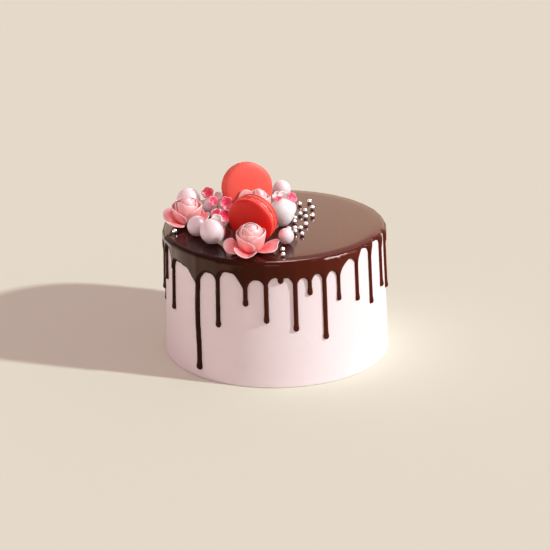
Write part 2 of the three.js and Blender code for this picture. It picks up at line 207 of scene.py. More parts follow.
def makeCake():
    foot = arcPoints((cake["baseRadius"] - cake["footRound"], cake["footRound"]), cake["footRound"], -90, 0, 5)
    top = arcPoints((cake["topRadius"] - cake["topRound"], cake["height"] - cake["topRound"]),
                    cake["topRound"], 0, 90, 4)
    low = cake["footRound"]
    high = cake["height"] - cake["topRound"]
    heights = [low + (high - low) * i / cake["rows"] for i in range(1, cake["rows"])]
    side = [(cakeRadius(height), height) for height in heights]
    bm = bmesh.new()
    turnedShape(bm, [(0, 0)] + foot + side + top + [(0, cake["height"])], cake["steps"])
    for vert in bm.verts:
        radius = math.hypot(vert.co.x, vert.co.y)
        height = vert.co.z
        if radius > cake["topRadius"] - 2 and height > low / 2:
            angle = math.atan2(vert.co.x, -vert.co.y)
            grow = (radius - scrapedDepth(angle, height)) / radius
            vert.co.x *= grow
            vert.co.y *= grow
        vert.co.x += cake["lean"] * height
    finishPiece("buttercream_cake", bm, buttercream(), "cake")
    print("cake body made")


# The poured ganache: a flat top, a rounded shoulder, a skirt that ends in arches, and drips

ganache = {
    "top": 103, "thickness": 2.2, "shoulder": 4, "columns": 1080, "rowStep": 0.85,
    "topRings": (84, 80, 68, 52, 36, 20, 8, 6.5, 5, 3.5, 2, 1), "bottomStop": 97, "edgeRound": 2.0, "blend": 1.0,
    "sunk": 0.9, "backDepth": 1.6, "ridge": 0.35, "ridgeReach": 3.4, "swell": 0.25, "swellWidth": 16,
    "belly": 2.05, "stemShare": 0.92, "bulbShare": 1.16, "bulbHeight": 2.6, "bulbReach": 2.6,
    "funnelReach": 2.8, "funnelDepth": 13, "funnelShare": 0.6,
    "longDrip": 80, "swayWidth": 0.7, "swayLength": 13, "swayStart": 19, "edgeFall": 0.3, "edgeReach": 8,
    "leastDepth": 0.25,
}
# Angle, length below the top and width of each drip
drips = [
    (-87, 52, 4.2), (-76, 37.5, 4.2), (-64.5, 56.5, 3.5), (-43, 96.5, 4.9), (-30.3, 57, 3.8),
    (-15.3, 37, 3.8), (-4.8, 50, 3.8), (2.7, 18, 3.8), (9.9, 57.2, 3.8), (17.5, 29, 3.6),
    (25.4, 66.6, 3.7), (33.6, 37.5, 3), (45.8, 42.5, 3), (57.2, 50.4, 3), (70.6, 43.5, 3.3),
    (82, 51, 3.6),
]
backDrips = {
    "from": 92, "to": 262, "step": 10.6, "jitter": 1.8, "shortest": 18, "longest": 68,
    "narrowest": 3.7, "widest": 4.4, "seed": 11,
}
# Angle and depth of the ganache's lower edge between the drips
crownLine = [
    (-98, 9), (-84, 7), (-73, 5.5), (-62, 12), (-57, 14), (-51, 15.2), (-46, 19.5), (-41, 15.5),
    (-37, 13.5), (-27, 9.6), (-22, 11), (-17, 16), (-12, 14), (-2, 11.3), (13, 11.3), (21, 9.6),
    (29, 9.4), (36, 8.4), (42, 5), (47, 1.6), (52, -0.4), (75, -0.3), (92, 3), (120, 11), (160, 9),
    (200, 12), (235, 8), (262, 9),
]


# Dark chocolate ganache: cocoa butter and cream, set to a deep brown skin that mirrors like lacquer. Its
# brown is painted redder towards the right, where the sun falls, and darker to the left: painted light and shade.
def darkGanache():
    material = blankMaterial("dark chocolate ganache")
    place = addNode(material, "ShaderNodeSeparateXYZ", {"Vector": objectPlace(material)})
    # Painted light and shade: the brown goes from darker on the left, away from the sun, to redder on the right,
    # where the sun falls
    paintedSunSide = ranged(material, place.outputs["X"], -50 * mm, 60 * mm, 0.0, 0.9)
    share = addNode(material, "ShaderNodeMath", {
        0: paintedSunSide, 1: ranged(material, speckle(material, 12, 2.0), 0.3, 0.7, 0.0, 0.1),
    }, operation="ADD", use_clamp=True)
    tone = between(material, share.outputs[0], "#270D05", "#591F13")
    ripple = bumped(material, speckle(material, 12, 1.0), 0.05, 0.2)
    fine = bumped(material, speckle(material, 0.8, 2.0), 0.004, 0.25, ripple)
    return surfaced(material, {
        "Base Color": tone, "Roughness": 0.11, "IOR": 1.45, "Normal": fine,
        "Specular IOR Level": 0.14, "Specular Tint": linear("#FFE2D0"),
    })


def seededDraws(seed):
    state = seed
    while True:
        state = state * 16807 % 2147483647
        yield state / 2147483647


def allDrips():
    draws = seededDraws(backDrips["seed"])
    made = list(drips)
    angle = backDrips["from"]
    while angle <= backDrips["to"]:
        spread = next(draws)
        turned = angle + (next(draws) * 2 - 1) * backDrips["jitter"]
        length = backDrips["shortest"] + (backDrips["longest"] - backDrips["shortest"]) * spread ** 2
        width = backDrips["narrowest"] + (backDrips["widest"] - backDrips["narrowest"]) * next(draws)
        made.append((turned, length, width))
        angle += backDrips["step"]
    return made


def smoothStep(value, low, high):
    t = min(max((value - low) / (high - low), 0), 1)
    return t * t * (3 - 2 * t)


def crownDepth(angle):
    first = crownLine[0][0]
    turned = (angle - first) % 360 + first
    i = 0
    while i < len(crownLine) - 2 and crownLine[i + 1][0] < turned:
        i += 1
    (fromAngle, fromDepth), (toAngle, toDepth) = crownLine[i], crownLine[i + 1]
    return fromDepth + (toDepth - fromDepth) * smoothStep(turned, fromAngle, toAngle)


# Millimetres along the side from a drip's middle to an angle
def sideways(angle, drip):
    return ((angle - drip[0] + 540) % 360 - 180) * math.radians(cake["topRadius"])


def edgeDepth(angle, made):
    crown = crownDepth(angle)
    funnel = 0
    for drip in made:
        deepest = min(ganache["funnelDepth"], ganache["funnelShare"] * max(drip[1] - crown, 0))
        funnel += deepest * math.exp(-abs(sideways(angle, drip)) / ganache["funnelReach"])
    return max(crown + funnel, ganache["leastDepth"])


# The skirt's way down is measured along its surface: round the shoulder, then down the side
def wayDown(depth):
    shoulder = ganache["shoulder"]
    if depth < shoulder:
        return shoulder * math.acos(1 - depth / shoulder)
    return shoulder * math.pi / 2 + depth - shoulder


# A rounded edge: 0 on the line, 1 well inside and -1 well outside
def roundedEdge(share):
    rise = math.sqrt(1 - (1 - min(abs(share), 1)) ** 2)
    return math.copysign(rise, share)


def smoothMax(first, second, reach):
    near = max(reach - abs(first - second), 0) / reach
    return max(first, second) + near * near * reach / 4


def dripLift(drip, across, way):
    angle, length, width = drip
    tip = wayDown(length)
    above = tip - way
    half = width / 2
    if length > ganache["longDrip"]:
        fallen = way - wayDown(ganache["shoulder"]) + ganache["swayStart"]
        across -= ganache["swayWidth"] * math.sin(fallen / ganache["swayLength"])
    bulb = math.exp(-((above - ganache["bulbHeight"]) / ganache["bulbReach"]) ** 2)
    wander = 0.05 * wave(angle * 7, 0, way, 7, 2.2)
    share = ganache["stemShare"] + (ganache["bulbShare"] - ganache["stemShare"]) * bulb + wander
    reach = half * share
    apart = abs(across) if above > reach else math.hypot(across, reach - above)
    return ganache["belly"] * share * roundedEdge((reach - apart) / reach)


def glazeColumn(angle, made):
    step = 0.3
    edge = wayDown(edgeDepth(angle, made))
    slope = (wayDown(edgeDepth(angle + step, made)) - edge) / (step * math.radians(cake["topRadius"]))
    near = [(sideways(angle, drip), drip) for drip in made]
    return {
        "angle": angle, "edge": edge, "cosine": 1 / math.hypot(1, slope),
        "drips": [(across, drip) for across, drip in near if abs(across) < 6],
        "ridge": sum(math.exp(-(across / ganache["ridgeReach"]) ** 2) for across, drip in near),
    }


# Height of the ganache over the buttercream, in millimetres
def glazeLift(column, way):
    start = wayDown(ganache["shoulder"])
    full = ganache["thickness"]
    if way > 0:
        a = math.radians(column["angle"])
        ring = cake["topRadius"]
        swell = wave(ring * math.sin(a), ring * math.cos(a), way, ganache["swellWidth"], 5.5)
        full += smoothStep(way, 0, start) * (ganache["swell"] * swell + ganache["ridge"] * column["ridge"])
    lift = full * roundedEdge((column["edge"] - way) * column["cosine"] / ganache["edgeRound"])
    for across, drip in column["drips"]:
        if way > start:
            lift = smoothMax(lift, dripLift(drip, across, way), ganache["blend"])
    return max(lift, -ganache["sunk"])


# The place of a point at an angle, a way down from the top and a height over the buttercream
def glazePoint(angle, way, lift):
    shoulder = ganache["shoulder"]
    under = ganache["thickness"] - lift
    start = cake["topRadius"] + ganache["thickness"] - shoulder
    middle = ganache["top"] - shoulder
    if way <= 0:
        radius = start + way
        height = ganache["top"] - under - ganache["edgeFall"] * max(1 + way / ganache["edgeReach"], 0) ** 2
    elif way < wayDown(shoulder):
        a = way / shoulder
        radius = start + (shoulder - under) * math.sin(a)
        height = middle + (shoulder - under) * math.cos(a)
        height -= ganache["edgeFall"] * (1 - way / wayDown(shoulder))
    else:
        height = middle + wayDown(shoulder) - way
        radius = cakeRadius(height) + lift
    a = math.radians(angle)
    return Vector((radius * math.sin(a) + cake["lean"] * height, -radius * math.cos(a), height))


def makeGanache():
    made = allDrips()
    start = cake["topRadius"] + ganache["thickness"] - ganache["shoulder"]
    ways = [-ring for ring in ganache["topRings"]]
    shoulderEnd = wayDown(ganache["shoulder"])
    shoulderRows = 10
    ways += [shoulderEnd * i / shoulderRows for i in range(shoulderRows + 1)]
    while ways[-1] < wayDown(ganache["bottomStop"]):
        ways.append(ways[-1] + ganache["rowStep"])
    count = ganache["columns"]
    columns = [glazeColumn(turn * 360 / count, made) for turn in range(count)]
    bm = bmesh.new()
    lifts = bm.verts.layers.float.new("lift")
    # The skin is laid out as a grid and rolled up on a drum of radius 1, whose height is the way down
    bmesh.ops.create_grid(bm, x_segments=count, y_segments=len(ways) - 1, size=1)
    for vert in bm.verts:
        turn = round((vert.co.x + 1) / 2 * count) % count
        way = ways[round((1 - vert.co.y) / 2 * (len(ways) - 1))]
        vert[lifts] = glazeLift(columns[turn], way)
        around = 2 * math.pi * turn / count
        vert.co = (math.sin(around), -math.cos(around), -way)
    seam = [vert for vert in bm.verts if vert.is_boundary and abs(vert.co.x) < 1e-5 and vert.co.y < 0]
    bmesh.ops.remove_doubles(bm, verts=seam, dist=1e-4)
    sunk = 1e-4 - ganache["sunk"]
    bare = [face for face in bm.faces if all(vert[lifts] < sunk for vert in face.verts)]
    bmesh.ops.delete(bm, geom=bare, context="FACES")
    # The innermost ring of the top is closed with one face
    inner = -ways[0] - 1e-3
    rim = [edge for edge in bm.edges if edge.is_boundary and all(-v.co.z < -inner for v in edge.verts)]
    bmesh.ops.contextual_create(bm, geom=rim)
    backs = bmesh.ops.extrude_face_region(bm, geom=bm.faces[:], use_keep_orig=True)
    for vert in backs["geom"]:
        if isinstance(vert, bmesh.types.BMVert):
            vert[lifts] = -ganache["backDepth"]
    for vert in bm.verts:
        angle = math.degrees(math.atan2(vert.co.x, -vert.co.y))
        way = -vert.co.z
        vert.co = glazePoint(angle, way, vert[lifts])
    print("ganache:", len(bm.faces), "faces, top ring from", round(start, 1))
    finishPiece("poured_ganache", bm, darkGanache(), "ganache")


# The silver dragees that lie on the ganache

dragee = {"radius": 2.0, "sink": 0.5, "uneven": 0.03, "detail": 3}
drageePlaces = [
    (20, 42.5), (28, 48.5), (30, 33), (24, 26), (20, 17.5), (24.3, 11), (29.7, 13.5), (15.6, 8.1),
    (15.1, -0.1), (24, -7), (15.3, -16), (15.2, -24), (19.7, -16.2), (20.6, -30), (5, -64.7),
    (5.3, -75.8), (-79.2, -18.6),
]


# Silver leaf on a sugar pearl: a metal skin over a slightly rough ball, so its mirror is soft
def silverSugar():
    material = blankMaterial("silver sugar pearls")
    pits = bumped(material, speckle(material, 0.7, 2.0), 0.06, 0.5)
    return surfaced(material, {
        "Base Color": linear("#E9EDEF"), "Metallic": 0.85, "Roughness": 0.2, "Normal": pits,
    })


def makeDragees():
    bm = bmesh.new()
    draw = random.Random(5)
    for x, y in drageePlaces:
        pearl = bmesh.ops.create_icosphere(bm, subdivisions=dragee["detail"], radius=dragee["radius"])
        flat = 1 - dragee["uneven"] * draw.random()
        bmesh.ops.scale(bm, vec=(1, 1, flat), verts=pearl["verts"])
        turn = Matrix.Rotation(draw.uniform(0, 3), 3, Vector((draw.random(), draw.random(), 1)))
        bmesh.ops.rotate(bm, cent=(0, 0, 0), matrix=turn, verts=pearl["verts"])
        height = ganache["top"] + dragee["radius"] - dragee["sink"]
        bmesh.ops.translate(bm, vec=(x, y, height), verts=pearl["verts"])
    finishPiece("silver_dragees", bm, silverSugar(), "ganache")
    print("dragees made")


# The macarons, each two shells and a filling

macaron = {
    "touchGap": 0.3, "fillingHalf": 1.7, "shellHeight": 5.9, "shellRim": 1.5, "footHeight": 3.4,
    "footDrop": 1.0, "steps": 240, "domeRows": 16, "footRows": 12, "ruffle": 1.1, "ruffleWidth": 1.5,
    "lump": 0.16,
}
macarons = [
    {"name": "front", "at": (-17.4, -44.5), "radius": 19.2, "turn": -28, "rise": -10},
    {"name": "back", "at": (-22.5, 29.8), "radius": 20.4, "turn": 16.7, "rise": 9.7},
]


# Almond meringue: a thin dry crust over an airy crumb, satin and finely pored
def macaronShell(name, light, dark, blistered):
    material = blankMaterial(name)
    crust = between(material, speckle(material, 6, 3.0), light, dark)
    foot = addNode(material, "ShaderNodeAttribute", attribute_name="foot").outputs["Fac"]
    sockets = {0: foot, 6: crust, 7: linear(blistered)}
    tone = addNode(material, "ShaderNodeMix", sockets, data_type="RGBA").outputs[2]
    lumps = bumped(material, speckle(material, 4, 2.0), 0.12, 0.35)
    pores = bumped(material, speckle(material, 0.7, 2.0), 0.05, 0.4, lumps)
    return surfaced(material, {
        "Base Color": tone, "Roughness": 0.5, "Specular IOR Level": 0.15, "Normal": pores,
        "Subsurface Weight": 0.15, "Subsurface Radius": (1.0, 0.3, 0.2), "Subsurface Scale": 1.5 * mm,
    })


# Filling: whipped cream and almond paste squeezed between the shells, matt and pinkish
def macaronFilling():
    material = blankMaterial("macaron filling")
    tone = between(material, speckle(material, 2.5, 2.0), "#FFE6DE", "#FFBFB2")
    return surfaced(material, {
        "Base Color": tone, "Roughness": 0.6, "IOR": 1.45,
        "Normal": bumped(material, speckle(material, 1.2, 2.0), 0.15, 0.6),
        "Subsurface Weight": 0.2, "Subsurface Radius": (1.0, 0.5, 0.4), "Subsurface Scale": 1.5 * mm,
    })


def macaronPlace(item):
    rise = math.radians(item["rise"])
    bottom = macaron["fillingHalf"] + macaron["touchGap"]
    lift = item["radius"] * math.cos(rise) + (bottom + macaron["shellRim"] + 0.5) * abs(math.sin(rise))
    height = ganache["top"] + macaron["touchGap"] + lift
    tip = Matrix.Rotation(math.radians(90 - item["rise"]), 4, "X")
    turn = Matrix.Rotation(math.radians(item["turn"]), 4, "Z")
    return Matrix.Translation((item["at"][0], item["at"][1], height)) @ turn @ tip


def makeShell(item, side, material):
    radius = item["radius"]
    bottom = macaron["fillingHalf"] - macaron["footDrop"]
    foot = []
    for i in range(macaron["footRows"] + 1):
        t = i / macaron["footRows"]
        out = 0.955 + 0.045 * math.sin(math.pi * (0.12 + 0.8 * t))
        foot.append((out * radius, bottom + macaron["footHeight"] * t))
    dome = []
    rise = macaron["shellHeight"] + macaron["touchGap"] + macaron["footDrop"] - macaron["footHeight"]
    for i in range(macaron["domeRows"]):
        a = math.pi / 2 * i / macaron["domeRows"]
        out = 0.985 * radius * math.cos(a) ** 0.55
        dome.append((out, bottom + macaron["footHeight"] + 0.1 + (rise - 0.1) * math.sin(a) ** 0.85))
    bm = bmesh.new()
    inside = (0.9 * radius, bottom)
    top = (0, bottom + macaron["footHeight"] + rise)
    turnedShape(bm, [(0, bottom), inside] + foot + dome + [top], macaron["steps"])
    seed = radius + 3 * side
    onFoot = bm.verts.layers.float.new("foot")
    for vert in bm.verts:
        x, y, z = vert.co
        out = math.hypot(x, y)
        if out < 0.5:
            continue
        share = (z - bottom) / macaron["footHeight"]
        if out > 0.92 * radius and share < 0.96:
            # The foot is a ring of small uneven blisters
            blister = noise.noise(Vector((x, y, z * 1.4)) / macaron["ruffleWidth"] + Vector((seed, 0, 0)))
            coarse = noise.noise(Vector((x, y, z)) / (3 * macaron["ruffleWidth"]) + Vector((0, seed, 0)))
            depth = macaron["ruffle"] * (0.5 - blister * 0.9 - coarse * 0.4) * math.sin(math.pi * max(share, 0.1))
            grow = (out - max(depth, 0)) / out
            vert[onFoot] = 1
        else:
            lump = noise.noise(vert.co / 9 + Vector((seed, seed, 0)))
            grow = 1 + 0.004 * (lump - 0.6)
            vert.co.z -= macaron["lump"] * (0.5 + 0.5 * lump) * (1 - (out / radius) ** 6)
        vert.co.x *= grow
        vert.co.y *= grow
    if side < 0:
        bmesh.ops.rotate(bm, cent=(0, 0, 0), matrix=Matrix.Rotation(math.pi, 3, "X"), verts=bm.verts[:])
    bmesh.ops.transform(bm, matrix=macaronPlace(item), verts=bm.verts[:])
    end = "a" if side > 0 else "b"
    node = f"macaron_{item['name']}_shell_{end}"
    finishPiece(f"{item['name']}_shell_{end}", bm, material, node)


def makeFilling(item, material):
    radius = item["radius"]
    half = macaron["fillingHalf"]
    profile = [(0, -half)]
    for i in range(9):
        t = -1 + 2 * i / 8
        profile.append((radius * (0.905 + 0.022 * math.sqrt(max(1 - t * t, 0))), half * t))
    bm = bmesh.new()
    turnedShape(bm, profile + [(0, half)], macaron["steps"])
    for vert in bm.verts:
        out = math.hypot(vert.co.x, vert.co.y)
        if out > 0.8 * radius:
            grow = 1 + 0.02 * noise.noise(vert.co / 3.5 + Vector((radius, 0, 4)))
            vert.co.x *= grow
            vert.co.y *= grow
    bmesh.ops.transform(bm, matrix=macaronPlace(item), verts=bm.verts[:])
    name = item["name"]
    finishPiece(f"{name}_filling", bm, material, f"macaron_{name}_filling")


def makeMacarons():
    # The front macaron's shell is the back one's coral, painted darker and redder as painted shade because its
    # face turns away from the sun; its foot colour stays lighter
    shadedCoral = macaronShell("red macaron shell", "#E22B22", "#D9221B", "#F8584A")
    coral = macaronShell("coral macaron shell", "#FF6A5C", "#F96052", "#FA6A5A")
    filling = macaronFilling()
    for item, material in zip(macarons, (shadedCoral, coral)):
        makeShell(item, 1, material)
        makeFilling(item, filling)
        makeShell(item, -1, material)
    print("macarons made")


# Coated chocolate balls and one tall sweet

balls = {
    "ball_1": (-70, 33, 9.7), "ball_2": (-52, 25, 6.4), "ball_3": (-61, -26, 8),
    "ball_4": (-48.5, -44, 10), "ball_5": (5.5, 62, 7.7), "ball_6": (9.8, 16, 7.2),
    "ball_7": (8, -47.5, 6.2), "ball_8": (-46.5, 6.5, 5.5), "bead": (10.2, -20.5, 2.3),
}
egg = {"at": (5.6, -6.5), "radius": 9.9, "height": 22.2, "taper": 0.2}
ballShape = {"around": 64, "up": 40, "uneven": 0.018}


# White chocolate with a pearl dust: satin, slightly translucent, pink in the shade
def pearlBall():
    material = blankMaterial("pearl coated chocolate")
    tone = between(material, speckle(material, 7, 2.0), "#F8E8EC", "#F2DAE1")
    skin = bumped(material, speckle(material, 1.1, 3.0), 0.05, 0.5)
    return surfaced(material, {
        "Base Color": tone, "Roughness": 0.42, "IOR": 1.45, "Normal": skin,
        "Subsurface Weight": 0.8, "Subsurface Radius": (1.0, 0.7, 0.65), "Subsurface Scale": 6.0 * mm,
        "Sheen Weight": 0.15,
    })


# Whipped sugar and egg white: matt, bright and so full of air that light spreads far inside it
def whippedSugar():
    material = blankMaterial("whipped sugar sweet")
    tone = between(material, speckle(material, 6, 2.0), "#FFFDFC", "#FFF6F6")
    return surfaced(material, {
        "Base Color": tone, "Roughness": 0.5, "IOR": 1.4,
        "Normal": bumped(material, speckle(material, 0.9, 3.0), 0.05, 0.4),
        "Subsurface Weight": 1.0, "Subsurface Radius": (1.0, 0.8, 0.75), "Subsurface Scale": 12.0 * mm,
    })


def unevenBall(bm, seed):
    for vert in bm.verts:
        lump = noise.noise(vert.co * 0.9 + Vector((seed, -seed, seed / 2)))
        vert.co *= 1 + ballShape["uneven"] * lump


def makeBalls():
    material = pearlBall()
    for name, (x, y, radius) in balls.items():
        bm = bmesh.new()
        bmesh.ops.create_uvsphere(
            bm, u_segments=ballShape["around"], v_segments=ballShape["up"], radius=1,
        )
        unevenBall(bm, x / 7)
        bmesh.ops.scale(bm, vec=(radius, radius, radius), verts=bm.verts[:])
        height = ganache["top"] + macaron["touchGap"] / 3 + radius
        bmesh.ops.translate(bm, vec=(x, y, height), verts=bm.verts[:])
        finishPiece("pearl_" + name, bm, material, name)
    bm = bmesh.new()
    bmesh.ops.create_uvsphere(bm, u_segments=ballShape["around"], v_segments=ballShape["up"], radius=1)
    unevenBall(bm, 2.5)
    half = egg["height"] / 2
    for vert in bm.verts:
        full = egg["radius"] * (1 + egg["taper"] * vert.co.z)
        vert.co = Vector((vert.co.x * full, vert.co.y * full, vert.co.z * half))
    height = ganache["top"] + macaron["touchGap"] / 3 + half
    bmesh.ops.translate(bm, vec=(egg["at"][0], egg["at"][1], height), verts=bm.verts[:])
    finishPiece("tall_sweet", bm, whippedSugar(), "egg")
    print("balls made")


# Wafer roses: cupped petals round a rolled heart, and open petals below

petal = {"thickness": 0.5, "foot": 0.35, "low": 32, "spiral": 0.45, "heartRise": 0.7, "shutWithin": 20}
# The bud is radius, height and how far it leans to the front. Each cup petal round it is turn, share
# of the bud's radius, half width in degrees, how far up the bud it closes in degrees, and flare.
# Each open petal is turn, reach, width, rise, curl, twist, lifted sides, how far it wraps the bud, and
# how far it slants out to one side.
roses = [
    {
        "name": "rose_left", "at": (-70, 2), "bud": (11.2, 24, 8),
        "cups": [
            (-84, 1.0, 86, 110, 1.2), (72, 0.99, 84, 116, 1.8), (172, 1.0, 95, 120, 1.2),
            (12, 0.88, 70, 127, -0.5), (-118, 0.86, 80, 128, 0.2), (120, 0.84, 80, 132, 0.4),
            (-46, 0.8, 84, 138, 0), (64, 0.74, 84, 148, 0), (180, 0.69, 100, 156, 0),
            (-10, 0.65, 88, 160, 0), (0, 0.59, 180, 176, 0), (180, 0.56, 180, 178, 0),
        ],
        "petals": [
            (-66, 19.5, 30, 2, 0.6, -17, 0.05, 0.6, 0), (84, 18, 15, 6, 0.6, 12, 0.1, 0, 0),
            (150, 15.5, 20, 9, 0.8, 0, 0.1, 0.6, 0), (228, 16, 22, 9, 0.8, 0, 0.1, 0.6, 0),
        ],
    },
    {
        "name": "rose_front", "at": (-18.8, -64.5), "bud": (10.7, 24.5, 13),
        "cups": [
            (-74, 1.0, 92, 114, 1.3), (66, 0.99, 92, 121, 1.5), (178, 0.98, 95, 134, 0),
            (-10, 0.93, 84, 124, 0), (108, 0.9, 84, 146, 0), (-128, 0.89, 88, 148, 0),
            (178, 0.88, 110, 160, 0), (38, 0.84, 84, 142, 0), (-58, 0.8, 84, 150, 0),
            (-6, 0.76, 90, 156, 0), (100, 0.71, 90, 160, 0), (190, 0.67, 100, 165, 0),
            (0, 0.61, 180, 176, 0), (180, 0.58, 180, 178, 0),
        ],
        "petals": [
            (-15, 22, 18, 1.4, 0.9, -8, 0.28, 0.1, 0), (-84, 21.5, 16, 0.8, 0.5, -34, 0.02, 0, 0),
            (67, 21.5, 15, 2.6, 0.6, 18, 0.12, 0, 0), (104, 22, 11, 6, 0.6, 8, 0.1, 0, 0),
        ],
    },
    {
        "name": "rose_back", "at": (-13.2, 8.5), "bud": (9.4, 27.2, 3),
        "cups": [
            (60, 1.0, 90, 120, 0.8), (-60, 0.98, 90, 118, 0.8), (180, 1.0, 95, 126, 0.4),
            (0, 0.84, 85, 132, 0), (120, 0.82, 90, 140, 0), (240, 0.8, 90, 148, 0),
            (60, 0.74, 90, 156, 0), (180, 0.68, 100, 162, 0), (0, 0.62, 180, 176, 0),
            (180, 0.59, 180, 178, 0),
        ],
        "petals": [
            (-136, 14.3, 15, 22.2, 0.55, 0, 0.02, 0, 0.8), (10, 15, 16, 6, 0.7, 0, 0.12, 0, 0),
            (150, 12, 14, 8, 0.7, 0, 0.12, 0.4, 0),
        ],
    },
]


# Moulded wafer petal: thin starch paper that glows when lit from behind, coral at the root, pale at the rim
def waferPetal():
    material = blankMaterial("pink wafer petal")
    blush = addNode(material, "ShaderNodeAttribute", attribute_name="blush").outputs["Fac"]
    mottled = speckle(material, 3, 3.0)
    shift = ranged(material, mottled, 0.3, 0.7, -0.12, 0.12)
    share = addNode(material, "ShaderNodeMath", {0: blush, 1: shift}, operation="ADD", use_clamp=True)
    low = ranged(material, share.outputs[0], 0.0, 0.55, 0.0, 1.0)
    deep = between(material, low, "#FF7270", "#FFB0B2")
    high = ranged(material, share.outputs[0], 0.6, 1.0, 0.0, 1.0)
    sockets = {0: high, 6: deep, 7: linear("#FFE0DF")}
    tone = addNode(material, "ShaderNodeMix", sockets, data_type="RGBA").outputs[2]
    veins = bumped(material, speckle(material, 1.3, 3.0), 0.08, 0.5)
    return surfaced(material, {
        "Base Color": tone, "Roughness": 0.42, "IOR": 1.45, "Normal": veins, "Sheen Weight": 0.2,
        "Subsurface Weight": 0.15, "Subsurface Radius": (1.0, 0.4, 0.4), "Subsurface Scale": 0.6 * mm,
    })


# Rounds a grid into a petal's outline: a square's u and v become across, -1 to 1, and along, 0 to 1
def petalOutline(u, v):
    w = 2 * v - 1
    return u * math.sqrt(1 - w * w / 2), (1 + w * math.sqrt(1 - u * u / 2)) / 2


# One petal: a grid with a round outline, bent by a function. The blush is 0 at its root and 1 at its rim.
def addPetal(bm, blush, shape):
    grid = bmesh.ops.create_grid(bm, x_segments=18, y_segments=18, size=0.5)
    for vert in grid["verts"]:
        u = 2 * vert.co.x
        v = vert.co.y + 0.5
        across, along = petalOutline(u, v)
        rim = max(abs(u), abs(2 * v - 1) if v > 0.5 else 0)
        vert[blush] = max(along ** 1.4 * 0.8, rim ** 7)
        vert.co = shape(across, along)


# A petal that hugs the egg-shaped bud and closes over it
def cupShape(bud, cup, seed):
    radius, height, lean = bud
    turn, share, halfWidth, top, flare = cup
    tilt = Matrix.Rotation(math.radians(lean), 3, "X")

    def shape(across, along):
        slope = math.radians(petal["low"] + (top - petal["low"]) * along)
        out = radius * share * math.sin(slope) + flare * smoothStep(along, 0.55, 1)
        drift = petal["spiral"] * across + 0.25 * noise.noise(Vector((across * 2, along * 2, seed)))
        # A petal that shuts over the top has no drift left there
        out += drift * min((180 - math.degrees(slope)) / petal["shutWithin"], 1)
        around = math.radians(turn + across * halfWidth)
        full = petal["heartRise"] + (1 - petal["heartRise"]) * share ** 0.3
        rise = height * full * (1 - math.cos(slope)) / 2
        place = tilt @ Vector((out * math.sin(around), -out * math.cos(around), rise))
        return place + Vector((0, 0, petal["foot"]))
    return shape


# A petal that lies open round the bud's foot, spooned and turned up at its end
def openShape(start, outer, seed):
    turn, reach, width, rise, curl, twist, sides, wrap, slant = outer
    spin = Matrix.Rotation(math.radians(turn), 3, "Z")
    bend = math.pi / 2 * curl
    tilt = math.radians(abs(twist))
    half = width / 2

    def shape(across, along):
        side = across * half * (0.7 + 0.3 * min(2 * along, 1))
        out = start + (reach - start) * math.sin(bend * along) / math.sin(bend) + slant * side
        up = rise * (1 - math.cos(bend * along)) / (1 - math.cos(bend))
        up += sides * width * across ** 2
        up += 0.5 * along * noise.noise(Vector((across * 2, along * 2, seed)))
        up += (half + side * math.copysign(1, twist)) * math.sin(tilt) * min(2 * along, 1)
        side *= math.cos(tilt)
        around = side / max(out, 0.7 * half)
        bent = Vector((out * math.sin(around), -out * math.cos(around), 0))
        flat = Vector((side, -out, 0))
        place = flat.lerp(bent, wrap) + Vector((0, 0, petal["foot"] + up))
        return spin @ place
    return shape


def makeRose(rose, material):
    radius, height, lean = rose["bud"]
    bm = bmesh.new()
    blush = bm.verts.layers.float.new("blush")
    for i, cup in enumerate(rose["cups"]):
        addPetal(bm, blush, cupShape(rose["bud"], cup, i + radius))
    for i, outer in enumerate(rose["petals"]):
        addPetal(bm, blush, openShape(radius * 0.4, outer, i + radius))
    x, y = rose["at"]
    bmesh.ops.translate(bm, vec=(x, y, ganache["top"] + macaron["touchGap"]), verts=bm.verts[:])
    name = "wafer_" + rose["name"]
    piece = finishPiece(name, bm, material, rose["name"], recalculate=False)
    thick = piece.modifiers.new("wafer thickness", "SOLIDIFY")
    thick.thickness = petal["thickness"] * mm
    thick.offset = 0
    smooth = piece.modifiers.new("soft edges", "SUBSURF")
    smooth.levels = 1
    smooth.render_levels = 1
    print(name, "made")


# Sugar blossoms, five petals each

blossom = {"radius": 5, "waist": 0.8, "thickness": 0.8, "cup": 1.9, "steps": 50, "rings": 8, "crease": 0.35}
blossoms = {
    "blossom_pink_1": ((-54, 32.8, 117.8), -10, 46, 1.05),
    "blossom_pink_2": ((-50.2, 18.6, 116.2), 35, 60, 0.85),
    "blossom_pink_3": ((-39.4, 16.8, 115.3), 12, 74, 1.1),
    "blossom_pink_4": ((-46, -1.6, 111.8), -60, 40, 0.95),
    "blossom_pink_5": ((-39.9, 2.9, 109.4), 5, 75, 1.1),
    "blossom_pink_6": ((12.6, 6, 122), 40, 60, 0.92),
    "blossom_pink_7": ((1.8, -7.4, 125.2), -10, 6, 0.8),
    "blossom_pink_8": ((8, 15.2, 119.4), 0, 35, 0.8),
    "blossom_white_1": ((-46.1, 25.4, 118.2), 20, 60, 0.72),
    "blossom_white_2": ((2, 12.2, 121.6), -5, 66, 0.86),
    "blossom_white_3": ((5.6, 8, 122.7), 12, 74, 0.95),
    "blossom_white_4": ((-46.7, -9.6, 110.2), 10, 64, 0.95),
}


# Sugar paste: powdered sugar pressed in a cutter, satin, with the light soaking a little way in
def sugarPaste(name, middle, rim):
    material = blankMaterial(name)
    blush = addNode(material, "ShaderNodeAttribute", attribute_name="blush").outputs["Fac"]
    share = ranged(material, blush, 0.35, 1.0, 0.0, 1.0)
    tone = between(material, share, middle, rim)
    grain = bumped(material, speckle(material, 0.8, 2.0), 0.06, 0.5)
    return surfaced(material, {
        "Base Color": tone, "Roughness": 0.45, "IOR": 1.46, "Normal": grain,
        "Subsurface Weight": 0.1, "Subsurface Radius": (1.0, 0.4, 0.4), "Subsurface Scale": 0.5 * mm,
    })


